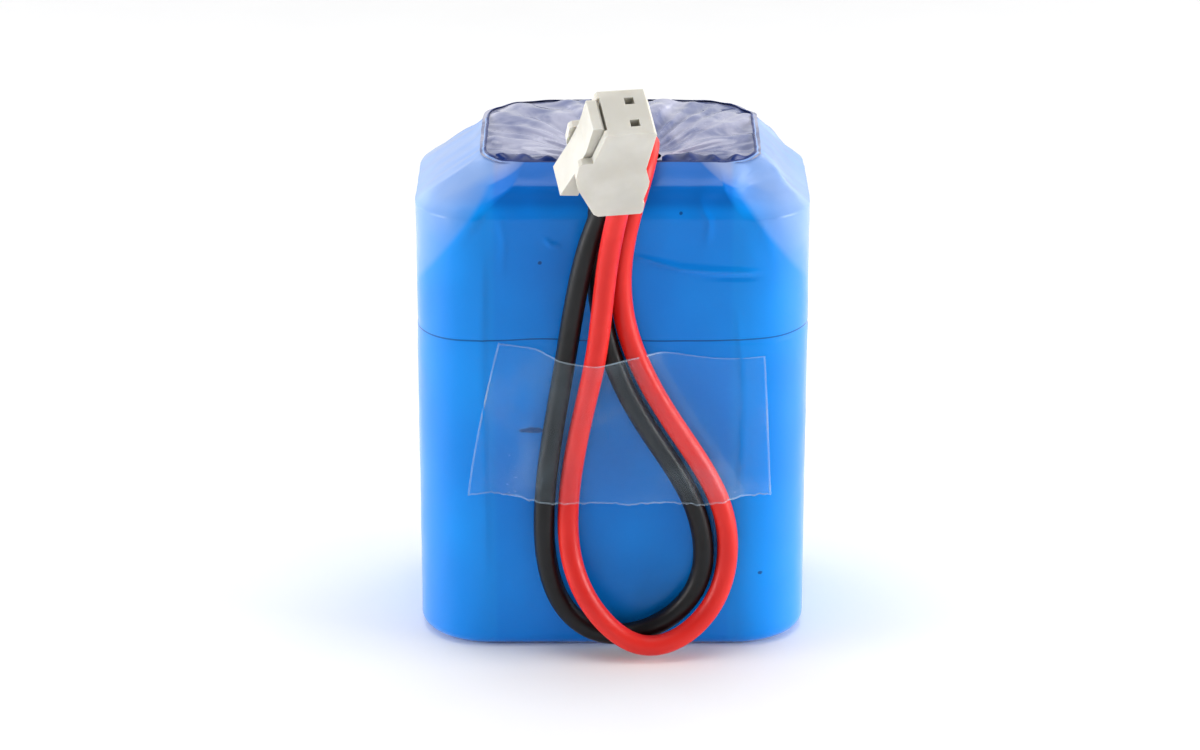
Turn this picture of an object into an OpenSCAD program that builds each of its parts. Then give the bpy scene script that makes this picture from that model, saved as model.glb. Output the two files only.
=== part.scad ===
// Rechargeable battery pack: six cylindrical cells, three wide and two deep, with a
// protection board on top, in a heat-shrink sleeve, and a two-wire lead with a plug.
// The pack stands on its base. Z is up, the front faces -Y, and the origin is the
// middle of the base. All sizes are in millimetres.

/* [Cells] */
// Diameter of one cell in its own wrap
cell_d = 18.3; // [18:0.1:18.5]
// Height of one cell, from its base to the top of its positive cap
cell_h = 65; // [64:0.5:66]
// Gap between neighbouring cells
cell_gap = 0.1; // [0.1:0.1:0.5]
// Wall of a cell's steel can
can_wall = 0.25; // [0.2:0.05:0.3]

/* [Sleeve] */
// Wall of the heat-shrink sleeve
sleeve_t = 0.3; // [0.2:0.05:0.4]
// Wall of the paper wrap round the cells
paper_t = 0.15; // [0.1:0.05:0.25]
// Radius of the sleeve's bottom edge
base_round = 2; // [1:0.5:3]
// Width of the rim that is folded under the base
base_rim = 6; // [4:0.5:8]

/* [Board] */
// Width of the protection board
board_w = 44; // [40:1:46]
// Depth of the protection board
board_d = 17; // [14:1:18]
// Thickness of the protection board
board_t = 1; // [0.8:0.1:1.2]
// Thickness of the nickel strips
strip_t = 0.15; // [0.1:0.05:0.2]

/* [Lead] */
// Outer diameter of each lead wire
wire_d = 3; // [2.8:0.1:3]
// Distance between the plug's two contacts
plug_pitch = 3.96; // [3.9:0.02:4]
// Length of the plug's housing
plug_l = 16.5; // [16:0.5:17]
// Lean of the plug out from the upright, in degrees
plug_lean = 32; // [30:1:34]
// Turn of the plug about the upright, in degrees
plug_turn = 13; // [11:1:15]

/* [Tape] */
// Height of the tape that holds the wires
tape_h = 24.5; // [20:0.5:26]
// Thickness of the tape
tape_t = 0.12; // [0.1:0.02:0.2]

/* [Hidden] */
$fn = 96;
gap = 0.05;
cell_pitch = cell_d + cell_gap;
cell_r = cell_d / 2;
half_w = cell_pitch + cell_r + 3 * gap + paper_t + sleeve_t;
half_d = cell_pitch / 2 + cell_r + 3 * gap + paper_t + sleeve_t;
corner_r = cell_r + 3 * gap + paper_t + sleeve_t;

// Heights of the stack, from the base up
bottom_insulator_z = sleeve_t + gap;
insulator_t = 0.3;
bottom_strip_z = bottom_insulator_z + insulator_t + gap;
cell_z = bottom_strip_z + strip_t;
top_strip_z = cell_z + cell_h;
top_insulator_z = top_strip_z + strip_t + gap;
board_z = top_insulator_z + insulator_t + gap;
board_top = board_z + board_t;
board_y = 3.5;
film_z = 70.3;
film_t = 0.25;

// Cell numbers 1 to 6: columns from left to right, the front one first in each
CELLS = [1 : 6];
function cell_x(i) = (floor((i - 1) / 2) - 1) * cell_pitch;
function cell_y(i) = ((i - 1) % 2 - 0.5) * cell_pitch;
function is_inverted(i) = cell_x(i) != 0;

// ---- shared shapes ----

// A rectangle with round corners, centred
module round_rect(w, d, r) {
    square([w - 2 * r, d], center = true);
    square([w, d - 2 * r], center = true);
    for (x = [-1, 1], y = [-1, 1])
        translate([x * (w / 2 - r), y * (d / 2 - r)]) circle(r);
}

// Puts a cell's part at the cell's place, with the end that it has up
module at_cell(i) {
    translate([cell_x(i), cell_y(i), cell_z])
        if (is_inverted(i)) translate([0, 0, cell_h]) rotate([180, 0, 0]) children();
        else children();
}

// ---- the parts of one cell, positive end up, base at z = 0 ----

can_r = cell_r - 0.15;
groove_z = cell_h - 4.5;
roll_top = cell_h - 6.5;
cap_z = cell_h - 1.8;
crimp_z = cell_h - 0.4;

// Steel can: flat base, straight wall, rolled groove and crimped lip
module cell_can(i) {
    r = can_r;
    w = can_wall;
    color("silver") at_cell(i) rotate_extrude() polygon([
        [0, 0], [r - 1, 0], [r - 1, 0.15], [r - 0.45, 0.15], [r, 0.6],
        [r, groove_z - 0.6], [r - 0.8, groove_z], [r, groove_z + 0.6],
        [r, crimp_z - 0.6], [r - 0.3, crimp_z], [r - 2, crimp_z], [r - 2, crimp_z - 0.4],
        [r - 0.5, crimp_z - 0.4], [r - w, crimp_z - 0.7], [r - w, groove_z + 0.75],
        [r - 0.8 - w, groove_z + 0.1], [r - 0.8 - w, groove_z - 0.1],
        [r - w, groove_z - 0.75], [r - w, 0.85], [r - 0.5, 0.4], [0, 0.4]]);
}

// Wound electrode roll with the hole of its winding pin
module electrode_roll(i) {
    color("dimgray") at_cell(i) translate([0, 0, 1]) difference() {
        cylinder(h = roll_top - 1, r = can_r - can_wall - 0.15);
        translate([0, 0, -1]) cylinder(h = cell_h, r = 1.5);
    }
}

// Gasket that holds the cap's edge and insulates it from the can
module cell_gasket(i) {
    r = can_r - can_wall - 0.05;
    color("white") at_cell(i) rotate_extrude() polygon([
        [r - 2.1, cap_z - 0.5], [r, cap_z - 0.5], [r, cap_z + 0.6], [r - 0.3, cap_z + 0.95],
        [r - 2.1, cap_z + 0.95],
        [r - 2.1, cap_z + 0.45], [r - 1.25, cap_z + 0.45], [r - 1.25, cap_z - 0.05],
        [r - 2.1, cap_z - 0.05]]);
}

// Positive cap with its raised contact
module positive_cap(i) {
    color("lightgray") at_cell(i) rotate_extrude() polygon([
        [0, cell_h - 0.4], [4, cell_h - 0.4], [4.4, cap_z], [7.3, cap_z], [7.3, cap_z + 0.4],
        [4.8, cap_z + 0.4], [4.4, cell_h], [0, cell_h]]);
}

// Shrunk film wrap of one cell, with a lip over each end
module cell_wrap(i) {
    r = cell_r;
    t = 0.12;
    top = cell_h - 0.25;
    color("lightsteelblue") at_cell(i) rotate_extrude() polygon([
        [r - 1.05, 0], [r - 0.25, 0], [r, 0.4], [r, top - 0.3], [r - 0.25, top],
        [r - 1.6, top], [r - 1.6, top - 0.1], [r - 0.35, top - 0.1], [r - t, top - 0.6],
        [r - t, 0.58], [r - 0.55, 0.1], [r - 1.05, 0.1]]);
}

// Paper rings on the positive ends
module paper_rings() {
    color("honeydew") for (i = CELLS) at_cell(i)
        translate([0, 0, cell_h - 0.25]) difference() {
            cylinder(h = 0.2, r = cell_r - 0.3);
            translate([0, 0, -1]) cylinder(h = 3, r = 4.8);
        }
}

// ---- nickel strips and leads between the cells ----

strip_w = 8;

// Nickel that joins a block of columns, with a weld slit over each cell
module strip_plate(first_column, last_column) {
    x0 = (first_column - 1) * cell_pitch;
    x1 = (last_column - 1) * cell_pitch;
    linear_extrude(strip_t) difference() {
        translate([(x0 + x1) / 2, 0])
            round_rect(x1 - x0 + strip_w, cell_pitch + strip_w, 1);
        for (c = [first_column : last_column], s = [-1, 1])
            translate([(c - 1) * cell_pitch, s * cell_pitch / 2]) square([0.8, 5], center = true);
        if (last_column > first_column)
            translate([(x0 + x1) / 2, 0])
                round_rect(x1 - x0 - strip_w, cell_pitch - strip_w, 1);
    }
}

module negative_strip() {
    color("gainsboro") {
        translate([0, 0, top_strip_z]) strip_plate(0, 0);
        // tab that stands up to the board's left pad
        translate([-cell_pitch - 4.1, -2, top_strip_z]) cube([strip_t, 4, board_top - top_strip_z]);
        translate([-cell_pitch - 4.1, -2, board_top]) cube([3.2, 4, strip_t]);
    }
}

module link_strip_bottom() {
    color("gainsboro") translate([0, 0, bottom_strip_z]) strip_plate(0, 1);
}

module link_strip_top() {
    color("gainsboro") translate([0, 0, top_strip_z]) strip_plate(1, 2);
}

module positive_strip() {
    color("gainsboro") translate([0, 0, bottom_strip_z]) strip_plate(2, 2);
}

riser_r = 0.9;

// Insulated lead from a bottom strip, up the space between four cells, to the board
module riser(side) {
    foot_r = riser_r - 0.1;
    translate([side * cell_pitch / 2, 0, cell_z + foot_r]) {
        cylinder(h = board_top + 0.8 - cell_z - foot_r, r = riser_r);
        sphere(riser_r);
        // foot that lies on the strip's edge
        rotate([0, side * 90, 0]) cylinder(h = 5.4, r = foot_r);
    }
}

module positive_riser() {
    color("firebrick") riser(1);
}

module tap_riser() {
    color("gold") riser(-1);
}

// Beads of glue in the grooves between the outer cells
module glue_beads() {
    color("ivory") for (x = [-0.5, 0.5] * cell_pitch, y = [-14.9, 14.9], z = [14, 47])
        translate([x, y, z]) cylinder(h = 9, r = 1.4);
}

// ---- insulation ----

module bottom_insulator() {
    color("darkseagreen") translate([0, 0, bottom_insulator_z])
        linear_extrude(insulator_t) round_rect(2 * half_w - 4.6, 2 * half_d - 4.6, corner_r - 2.3);
}

// Top insulator, with holes for the two risers
module top_insulator() {
    color("darkseagreen") translate([0, 0, top_insulator_z]) linear_extrude(insulator_t) difference() {
        round_rect(2 * half_w - 8, 2 * half_d - 5, corner_r - 3);
        for (x = [-0.5, 0.5] * cell_pitch) translate([x, 0]) circle(riser_r + 0.2);
        translate([-cell_pitch - 4.4, -2.3]) square([0.8, 4.6]);
    }
}

// Paper wrap round the block of cells
module paper_wrap() {
    w = 2 * (half_w - sleeve_t - 2 * gap);
    d = 2 * (half_d - sleeve_t - 2 * gap);
    r = corner_r - sleeve_t - 2 * gap;
    color("darkseagreen") translate([0, 0, 3]) linear_extrude(cell_h - 4) difference() {
        round_rect(w, d, r);
        round_rect(w - 2 * paper_t, d - 2 * paper_t, r - paper_t);
    }
}

// ---- protection board ----

module protection_board() {
    color("darkgreen") translate([0, board_y, board_z]) linear_extrude(board_t) difference() {
        round_rect(board_w, board_d, 1);
        for (x = [-0.5, 0.5] * cell_pitch) translate([x, -board_y]) circle(riser_r + 0.1);
    }
}

// Eight-lead power transistor: body and two rows of legs
module power_chip() {
    linear_extrude(1.4) square([4.9, 3.9], center = true);
    for (k = [-1.5 : 1 : 1.5], s = [-1, 1])
        translate([k * 1.27 - 0.2, s * 2.45 - 0.5, 0]) cube([0.4, 1, 0.25]);
}

module mosfets() {
    color("dimgray") for (x = [-14.5, -5, 14.5]) translate([x, 7.5, board_top]) power_chip();
}

module protection_chip() {
    color("black") translate([4.5, 7.5, board_top]) {
        linear_extrude(1) square([4.4, 3], center = true);
        for (k = [-2 : 2], s = [-1, 1])
            translate([k * 0.8 - 0.15, s * 1.9 - 0.45, 0]) cube([0.3, 0.9, 0.2]);
    }
}

// Small resistors and capacitors in two rows
module chip_parts() {
    color("tan") for (k = [0 : 8]) {
        translate([-18 + k * 4.5, 3.2, board_top + 0.3]) cube([2, 1.25, 0.6], center = true);
        if (k % 2 == 0) translate([-18 + k * 4.5, 11, board_top + 0.3]) cube([1.25, 0.8, 0.6], center = true);
    }
}

lead_x = [4.2, -1.5];

// Solder on the two lead pads, the two riser pads and the negative tab
module solder_joints() {
    color("lightgray") {
        for (x = lead_x) translate([x - 1.4, -1.5, board_top]) cube([2.8, 2, 2.2]);
        for (x = [-0.5, 0.5] * cell_pitch) translate([x, 0, board_top]) difference() {
            cylinder(h = 0.6, r1 = 1.6, r2 = 1.1);
            translate([0, 0, -1]) cylinder(h = 3, r = riser_r);
        }
        translate([-cell_pitch - 2, 0, board_top + strip_t]) cylinder(h = 0.4, r1 = 1, r2 = 0.6);
    }
}

// Foam pad that fills the space over the board
module foam_pad() {
    z0 = board_top + 1.6;
    color("whitesmoke") translate([0, board_y + 2.8, z0])
        linear_extrude(film_z - z0) round_rect(board_w - 4, board_d - 7, 2);
}

// Film over the board, with a slit where the wires come out
module top_film() {
    color("lavender") translate([0, 0, film_z]) linear_extrude(film_t) difference() {
        round_rect(2 * half_w - 15.1, 2 * half_d - 9.6, corner_r);
        translate([1.55, -5.8]) round_rect(10, 9.8, 2);
    }
}

// ---- heat-shrink sleeve ----

// One level of the sleeve's outer face, from the folded rim at the base to the rim of
// the top opening: [height, set in at the sides, set in at the front, pulled in at a corner]
wall_top = cell_z + cell_h - 0.45;
base_steps = 4;
LEVELS = concat(
    [[0, base_rim, base_rim, 0]],
    [for (k = [0 : base_steps]) let (a = 90 * k / base_steps)
        [base_round * (1 - cos(a)), base_round * (1 - sin(a)), base_round * (1 - sin(a)), 0]],
    [[wall_top, 0, 0, 0], [wall_top + 1.3, 1, 0.2, 0.5], [wall_top + 2.8, 2.5, 0.5, 1.4],
     [wall_top + 4.1, 4.1, 0.8, 2.2], [wall_top + 4.9, 5.2, 1.5, 2.2],
     [wall_top + 6, 7, 3.7, 1.5], [wall_top + 6.85, 9, 6.2, 0.8]]);

arc_steps = 8;
corner_drop = 0.4;
ring_n = 4 * (arc_steps + 1);

// Height and mean set-in of a level, and its tangent and outward normal in that plane
function flat(l) = [(l[1] + l[2]) / 2, l[0]];
function unit(v) = v / norm(v);
function tangent(k) = unit(flat(LEVELS[min(k + 1, len(LEVELS) - 1)]) - flat(LEVELS[max(k - 1, 0)]));

// Step from the outer face at level k to the inner face: [inwards, down]
function wall_step(k) = let (t = tangent(k)) sleeve_t * [t[1], t[0]];

// Points of one level, round the sleeve, after a step inwards and down
function ring(l, step = [0, 0]) = let (hw = half_w - l[1] - step[0], hd = half_d - l[2] - step[0],
                                       r = corner_r - 0.35 * (l[1] + l[2]) - step[0])
    [for (q = [0 : 3], j = [0 : arc_steps])
        let (a = 90 * j / arc_steps, f = 90 * q + a, c = sin(2 * a) * l[3],
             sx = (q == 0 || q == 3) ? 1 : -1, sy = (q < 2) ? 1 : -1)
        [sx * (hw - r - c / sqrt(2)) + r * cos(f), sy * (hd - r - c / sqrt(2)) + r * sin(f),
         l[0] - step[1] - corner_drop * c]];

// A closed skin over rings of n points each, joined in a loop
module ring_skin(rings, n) {
    m = len(rings);
    polyhedron(
        points = [for (r = rings) each r],
        faces = [for (k = [0 : m - 1], j = [0 : n - 1])
            let (a = k * n + j, b = k * n + (j + 1) % n,
                 c = ((k + 1) % m) * n + (j + 1) % n, d = ((k + 1) % m) * n + j)
            each [[a, d, c], [a, c, b]]]);
}

module heat_shrink_sleeve() {
    last = len(LEVELS) - 1;
    color("dodgerblue") ring_skin(concat(
        [for (k = [0 : last]) ring(LEVELS[k])],
        [for (k = [last : -1 : 0]) ring(LEVELS[k], wall_step(k))]), ring_n);
}

// ---- lead wires ----

// Both wires run from the board, over the sleeve's top rim, down the front, round a
// loop at the base and back up to the plug. The red one lies over the black one.
RED_ROUTE = [
    [4.2, -1.5, 69.1], [4.3, -4, 69.3], [4.6, -6.4, 70.5], [4.9, -8.5, 72.5],
    [5.1, -11.1, 74.3], [5.1, -14.2, 75], [4.8, -17.3, 74.3], [4.1, -19.7, 72.1],
    [3.1, -20.7, 68.9], [1.9, -20.7, 64.6], [1, -20.6, 58.7], [1.2, -20.6, 52.8],
    [2.6, -20.6, 47.3], [5.1, -20.6, 41.5], [8.4, -20.6, 35.8], [12, -20.6, 30.4],
    [14.9, -20.6, 25.2], [16.5, -20.6, 20], [16.7, -20.7, 14.6], [15.6, -21.2, 9.6],
    [13, -22.2, 5.6], [9.4, -23.2, 2.9], [5.4, -23.7, 1.9], [1.6, -23.8, 3.2],
    [-2.2, -23.6, 6.9], [-4.9, -22.8, 11.5], [-6.3, -21.4, 16.3], [-6.5, -20.7, 21.6],
    [-6, -20.6, 27.2], [-5, -20.7, 33.2], [-3.9, -21.2, 38.6], [-2.8, -22.6, 43.8],
    [-2, -23.8, 49], [-1.5, -24.1, 54], [-1, -24.5, 59], [-0.4, -25.6, 63.6],
    [0.3, -27.4, 67.6], [0.9, -29.6, 71.1], [1.5, -32.3, 75.5]];
BLACK_ROUTE = [
    [-1.5, -1.5, 69.1], [-1.5, -4, 69.3], [-1.5, -6.4, 70.5], [-1.5, -8.5, 72.5],
    [-1.5, -11.1, 74.3], [-1.5, -14.2, 75], [-1.6, -17.3, 74.3], [-1.7, -19.7, 72.1],
    [-1.9, -20.7, 68.9], [-2.2, -20.7, 64], [-2.3, -20.6, 58], [-1.8, -20.6, 52.5],
    [-0.6, -20.6, 46.8], [1.2, -20.6, 41.8], [3.6, -20.6, 37], [6.6, -20.6, 32.2],
    [9.6, -20.6, 27.6], [12, -20.6, 22.6], [13.2, -20.6, 17.4], [13.1, -20.6, 12.6],
    [11.4, -20.6, 8.5], [8.3, -20.6, 5.2], [4.2, -20.6, 3.1], [-0.3, -20.6, 2.4],
    [-4.3, -20.6, 3.9], [-7.4, -20.6, 7.2], [-9.2, -20.6, 12], [-9.9, -20.6, 17.6],
    [-9.8, -20.6, 23.2], [-9.3, -20.6, 28.8], [-8.4, -20.7, 35], [-7.3, -21.1, 41.5],
    [-6.3, -21.8, 48], [-5.4, -22.7, 54], [-4.3, -23.3, 60], [-2.9, -23.8, 65],
    [-1.2, -24.6, 69.4], [0.1, -26.3, 73.1], [0.7, -29, 77.6]];

// Direction of a route at point i
function heading(p, i) = unit(p[min(i + 1, len(p) - 1)] - p[max(i - 1, 0)]);

// Side vectors along a route, each turned from the one before it as little as possible
function sides(p, i, found) = i == len(p) ? found
    : let (t = heading(p, i), s = found[i - 1]) sides(p, i + 1, concat(found, [unit(s - (s * t) * t)]));

module wire(p) {
    n = 8;
    side = sides(p, 1, [[1, 0, 0]]);
    rings = [for (i = [0 : len(p) - 1]) let (t = heading(p, i), s = side[i], u = cross(t, s))
        [for (j = [0 : n - 1]) p[i] + wire_d / 2 * (cos(360 * j / n) * s + sin(360 * j / n) * u)]];
    m = len(rings);
    polyhedron(
        points = [for (r = rings) each r],
        faces = concat(
            [for (k = [0 : m - 2], j = [0 : n - 1])
                let (a = k * n + j, b = k * n + (j + 1) % n) each [[a, a + n, b + n], [a, b + n, b]]],
            [[for (j = [0 : n - 1]) j]],
            [[for (j = [n - 1 : -1 : 0]) (m - 1) * n + j]]));
}

module red_wire() {
    color("red") wire(RED_ROUTE);
}

module black_wire() {
    color([0.15, 0.15, 0.16]) wire(BLACK_ROUTE);
}

// ---- plug ----

// In the plug's own frame Z runs from the wire end to the mating face, Y along the row
// of contacts, and -X towards the latch. PLUG_AT is the middle of the wire end.
PLUG_AT = [0.5, -28, 72.2];
plug_half_y = plug_pitch / 2 + 1.97;
wall_in = plug_half_y - 1.1;
pivot_x = -6.3;
pivot_z = 9;
pivot_r = 0.55;
pivot_clear = 0.05;

module at_plug() {
    translate(PLUG_AT) rotate([plug_lean, 0, plug_turn]) children();
}

// An outline in the plug's X-Z plane, made y1 - y0 thick along Y
module plug_slab(outline, y0, y1) {
    translate([0, y1, 0]) rotate([90, 0, 0]) linear_extrude(y1 - y0) polygon(outline);
}

// Housing: body with two contact cavities, and two walls that flank the latch
module connector_housing() {
    body = [[-3.3, 0], [2.5, 0], [2.8, 0.4], [2.8, 2.1], [2.5, 2.5], [2.9, 5.6], [2.9, 6.6],
            [2.1, 9.2], [2.65, plug_l - 0.4], [2.3, plug_l], [-3.9, plug_l], [-3.9, 12],
            [-3.3, 11.2]];
    wall = [[-3.4, 0], [-4.1, 0.5], [-5.2, 2.6], [-6.9, 5.9], [-7.4, 8], [-7.3, 10.6], [-6.9, 11],
            [-5.4, 11.1], [-4.3, plug_l - 0.3], [-4, plug_l], [-3.2, plug_l]];
    color("antiquewhite") at_plug() difference() {
        union() {
            plug_slab(body, -plug_half_y, plug_half_y);
            plug_slab(concat(wall, [[-2.5, plug_l], [-2.5, 0]]), wall_in, plug_half_y);
            plug_slab(concat(wall, [[-2.5, plug_l], [-2.5, 0]]), -plug_half_y, -wall_in);
        }
        for (s = [-1, 1]) {
            translate([-1.7, s * plug_pitch / 2 - 1.7, -1]) cube([3.4, 3.4, 7.5]);
            translate([-1.4, s * plug_pitch / 2 - 1.4, 6]) cube([2.8, 2.8, plug_l - 8]);
            translate([-0.65, s * plug_pitch / 2 - 0.6, 6]) cube([1.3, 1.2, plug_l]);
            // seat of the latch's pivot in each wall
            translate([pivot_x, s * wall_in, pivot_z]) rotate([90, 0, 0])
                cylinder(h = 1.2, r = pivot_r + pivot_clear, center = true);
        }
    }
}

// Latch: a lever with a hook at the mating end and a thumb tail at the wire end
module connector_latch() {
    lever = [[-5.8, plug_l - 0.1], [-6.2, 12.1], [-7.2, 8.1], [-8.8, 3.4], [-6.3, 3.1],
             [-5.3, 7.6], [-4.9, 11.2], [-4.3, 12.6], [-4.2, plug_l - 0.4], [-4.6, plug_l - 0.1]];
    half = wall_in - 0.25;
    color("antiquewhite") at_plug() {
        plug_slab(lever, -half, half);
        translate([pivot_x, 0, pivot_z]) rotate([90, 0, 0])
            cylinder(h = 2 * (wall_in + 0.5), r = pivot_r, center = true);
    }
}

// Crimp contacts: a barrel on the wire and a hollow box behind each opening
module crimp_contacts() {
    color("gold") at_plug() for (s = [-1, 1]) translate([0, s * plug_pitch / 2, 0]) {
        translate([0, 0, 4.9]) cylinder(h = 3.2, r = 1.3);
        difference() {
            translate([-1.25, -1.25, 8]) cube([2.5, 2.5, 6.3]);
            translate([-0.75, -0.65, 9.5]) cube([1.5, 1.3, 6]);
        }
    }
}

// ---- tape ----

// Clear tape that lies on the sleeve at both sides and bridges the wires
module clear_tape() {
    y0 = -half_d - 0.03;
    z0 = 23;
    under = [[-21, y0], [-12.8, y0], [-10.8, -22.4], [-6, -25.7], [4, -25.7], [16.4, -22.4],
             [19.2, y0], [23, y0]];
    over = [for (i = [len(under) - 1 : -1 : 0]) under[i] - [0, tape_t]];
    color("azure") translate([0, 0, z0]) linear_extrude(tape_h) polygon(concat(under, over));
}

for (i = CELLS) {
    cell_can(i);
    electrode_roll(i);
    cell_gasket(i);
    positive_cap(i);
    cell_wrap(i);
}
paper_rings();
negative_strip();
link_strip_bottom();
link_strip_top();
positive_strip();
positive_riser();
tap_riser();
glue_beads();
bottom_insulator();
top_insulator();
paper_wrap();
protection_board();
mosfets();
protection_chip();
chip_parts();
solder_joints();
foam_pad();
top_film();
heat_shrink_sleeve();
red_wire();
black_wire();
connector_housing();
connector_latch();
crimp_contacts();
clear_tape();
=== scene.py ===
"""Visual model of a shrink-wrapped battery pack with a two-wire plug lead.

Lengths are in millimetres until they reach Blender, where MM turns them into metres.
The pack stands on z = 0 and its front faces -Y.
"""
import math

import bpy
import numpy as np
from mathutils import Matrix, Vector, noise


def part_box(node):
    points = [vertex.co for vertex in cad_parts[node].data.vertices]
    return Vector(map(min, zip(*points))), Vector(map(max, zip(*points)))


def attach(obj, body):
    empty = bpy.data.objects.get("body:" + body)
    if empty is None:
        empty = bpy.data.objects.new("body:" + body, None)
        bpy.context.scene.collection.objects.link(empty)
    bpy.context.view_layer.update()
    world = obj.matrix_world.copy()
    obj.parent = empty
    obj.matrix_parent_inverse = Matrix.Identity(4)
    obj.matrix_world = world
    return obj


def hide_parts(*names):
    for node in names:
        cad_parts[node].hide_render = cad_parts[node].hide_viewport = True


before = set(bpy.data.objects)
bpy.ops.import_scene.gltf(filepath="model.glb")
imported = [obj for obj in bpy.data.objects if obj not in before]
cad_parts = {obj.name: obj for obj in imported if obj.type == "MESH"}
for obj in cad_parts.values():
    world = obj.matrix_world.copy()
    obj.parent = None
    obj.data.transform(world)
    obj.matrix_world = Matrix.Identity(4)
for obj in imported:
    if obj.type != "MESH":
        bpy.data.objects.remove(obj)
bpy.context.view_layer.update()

MM = 0.001


def node_box(name):
    """Lowest and highest corner of a CAD node, in millimetres."""
    low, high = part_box(name)
    return np.array(low) / MM, np.array(high) / MM


SLEEVE_HIGH = node_box("heat_shrink_sleeve")[1]
HALF_W = SLEEVE_HIGH[0]
HALF_D = SLEEVE_HIGH[1]
SLEEVE_H = SLEEVE_HIGH[2]
CELL_LOW, CELL_HIGH = node_box("cell_wrap_1")
CELL_R = (CELL_HIGH[0] - CELL_LOW[0]) / 2
CELL_PITCH = HALF_W - CELL_R - 0.6
CORNER_R = HALF_W - CELL_PITCH
CELL_TOP = CELL_HIGH[2]

# ---------------------------------------------------------------- camera

ELEVATION = math.radians(20.5)
CAMERA_DISTANCE = 500
PIXELS_PER_MM = 7.05
FRAME_WIDTH = 1200
SENSOR = 36
AIM = Vector((-1.8, -HALF_D, 42.3))


def make_camera():
    data = bpy.data.cameras.new("camera")
    data.sensor_width = SENSOR
    data.lens = SENSOR * PIXELS_PER_MM * CAMERA_DISTANCE / FRAME_WIDTH
    data.clip_start = 0.01
    data.clip_end = 20
    cam = bpy.data.objects.new("camera", data)
    back = Vector((0, -math.cos(ELEVATION), math.sin(ELEVATION)))
    cam.location = (AIM + back * CAMERA_DISTANCE) * MM
    cam.rotation_mode = "QUATERNION"
    cam.rotation_quaternion = (-back).to_track_quat("-Z", "Y")
    bpy.context.collection.objects.link(cam)
    bpy.context.scene.camera = cam


make_camera()

# ---------------------------------------------------------------- materials


class Look:
    """A node material with one Principled shader, and short calls for what feeds it."""

    def __init__(self, name, **values):
        self.material = bpy.data.materials.new(name)
        self.material.use_nodes = True
        self.nodes = self.material.node_tree.nodes
        self.links = self.material.node_tree.links
        self.shader = self.nodes["Principled BSDF"]
        self.coords = self.nodes.new("ShaderNodeTexCoord").outputs["Object"]
        for socket, value in values.items():
            self.shader.inputs[socket.replace("_", " ")].default_value = value

    def add(self, kind, inputs=None, **settings):
        made = self.nodes.new(kind)
        for key, value in settings.items():
            setattr(made, key, value)
        for key, value in (inputs or {}).items():
            self.feed(value, made.inputs[key])
        return made

    def feed(self, value, socket):
        if isinstance(value, bpy.types.NodeSocket):
            self.links.new(value, socket)
        else:
            socket.default_value = value

    def noise(self, scale, detail=3, rough=0.5, stretch=(1, 1, 1), distort=0):
        """Noise whose grain is about 1/scale metres, stretched along each axis."""
        place = self.add("ShaderNodeMapping", {"Vector": self.coords, "Scale": stretch})
        return self.add("ShaderNodeTexNoise", {
            "Vector": place.outputs["Vector"], "Scale": scale, "Detail": detail,
            "Roughness": rough, "Distortion": distort}).outputs["Fac"]

    def cells(self, scale, feature="F1", stretch=(1, 1, 1)):
        place = self.add("ShaderNodeMapping", {"Vector": self.coords, "Scale": stretch})
        return self.add("ShaderNodeTexVoronoi", {
            "Vector": place.outputs["Vector"], "Scale": scale}, feature=feature).outputs["Distance"]

    def ramp(self, value, low, high, to_low=0.0, to_high=1.0):
        return self.add("ShaderNodeMapRange", {
            "Value": value, "From Min": low, "From Max": high,
            "To Min": to_low, "To Max": to_high}, interpolation_type="SMOOTHSTEP").outputs["Result"]

    def math(self, operation, a, b):
        made = self.add("ShaderNodeMath", operation=operation)
        self.feed(a, made.inputs[0])
        self.feed(b, made.inputs[1])
        return made.outputs[0]

    def ramp_line(self, value, zero, one):
        """(value - zero) / one, without limits."""
        return self.math("DIVIDE", self.math("SUBTRACT", value, zero), one)

    def mix(self, factor, a, b):
        made = self.add("ShaderNodeMix", data_type="RGBA")
        self.feed(factor, made.inputs[0])
        self.feed((*a, 1) if isinstance(a, tuple) else a, made.inputs[6])
        self.feed((*b, 1) if isinstance(b, tuple) else b, made.inputs[7])
        return made.outputs[2]

    def axis(self, name):
        """One coordinate of the point, in metres."""
        return self.add("ShaderNodeSeparateXYZ", {"Vector": self.coords}).outputs[name]

    def colour(self, value):
        self.feed(value, self.shader.inputs["Base Color"])

    def rough(self, value):
        self.feed(value, self.shader.inputs["Roughness"])

    def bump(self, *layers):
        """Layers of (height, depth in metres), the first one the deepest in the stack."""
        normal = None
        for height, depth in layers:
            made = self.add("ShaderNodeBump", {"Height": height, "Distance": depth})
            if normal is not None:
                self.feed(normal, made.inputs["Normal"])
            normal = made.outputs["Normal"]
        self.feed(normal, self.shader.inputs["Normal"])


# Small dark marks on the film: x, y, z, half width, half height
MARKS = [
    (-11.4, -18.9, 33.8, 2.0, 0.5), (-28.0, -5.5, 22.5, 0.6, 0.9),
    (-10.3, -18.9, 59, 0.35, 0.3), (9.5, -18.8, 66.3, 0.3, 0.3),
    (21.4, -18.4, 11.5, 0.4, 0.3), (27.9, 6, 51, 0.5, 0.8),
    (14, 18.9, 28, 1.4, 0.4), (-17, 18.9, 50, 0.4, 0.4)]
# Height of the paper wrap's edge, which shows through the film, in metres
PAPER_EDGE = 0.0482


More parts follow.
